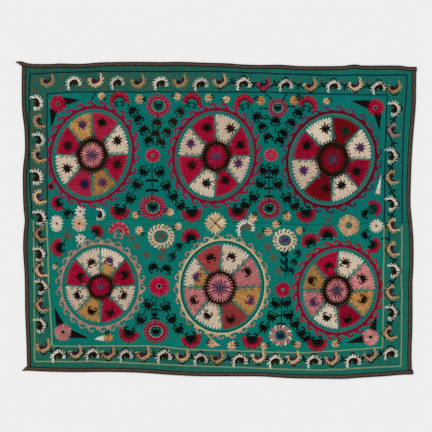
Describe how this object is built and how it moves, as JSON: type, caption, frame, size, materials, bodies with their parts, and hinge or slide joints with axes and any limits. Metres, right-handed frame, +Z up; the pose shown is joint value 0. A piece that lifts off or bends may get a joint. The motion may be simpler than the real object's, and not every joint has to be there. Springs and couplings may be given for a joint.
{
  "type": "suzani embroidered textile",
  "caption": "Large embroidered cotton cloth of two sewn widths, with ringed medallions, a leaf border and a dark folded braid round its edge, lying flat face up.",
  "frame": {"origin": "centre of the outline's box, on the surface that the cloth lies on", "axes": "+X along the length, to the right as seen face on; +Y towards the top edge; +Z up out of the embroidered face"},
  "size_m": [2.2039, 1.7443, 0.0058],
  "materials": {
    "upper_cotton": "matt plain-woven teal cotton, slightly mottled",
    "lower_cotton": "matt plain-woven teal cotton, slightly lighter and mottled",
    "edge_braid": "matt dark brown woven braid with a pinkish brown middle",
    "embroidery_thread": "dense couched and chain-stitched thread in crimson, rose, cream, ochre, plum and dark brown, softly shining along the stitches"
  },
  "bodies": {
    "root": {"upper_panel": "upper_cotton", "lower_panel": "lower_cotton", "braid_top": "edge_braid", "braid_bottom": "edge_braid", "braid_left": "edge_braid", "braid_right": "edge_braid"}
  },
  "joints": []
}
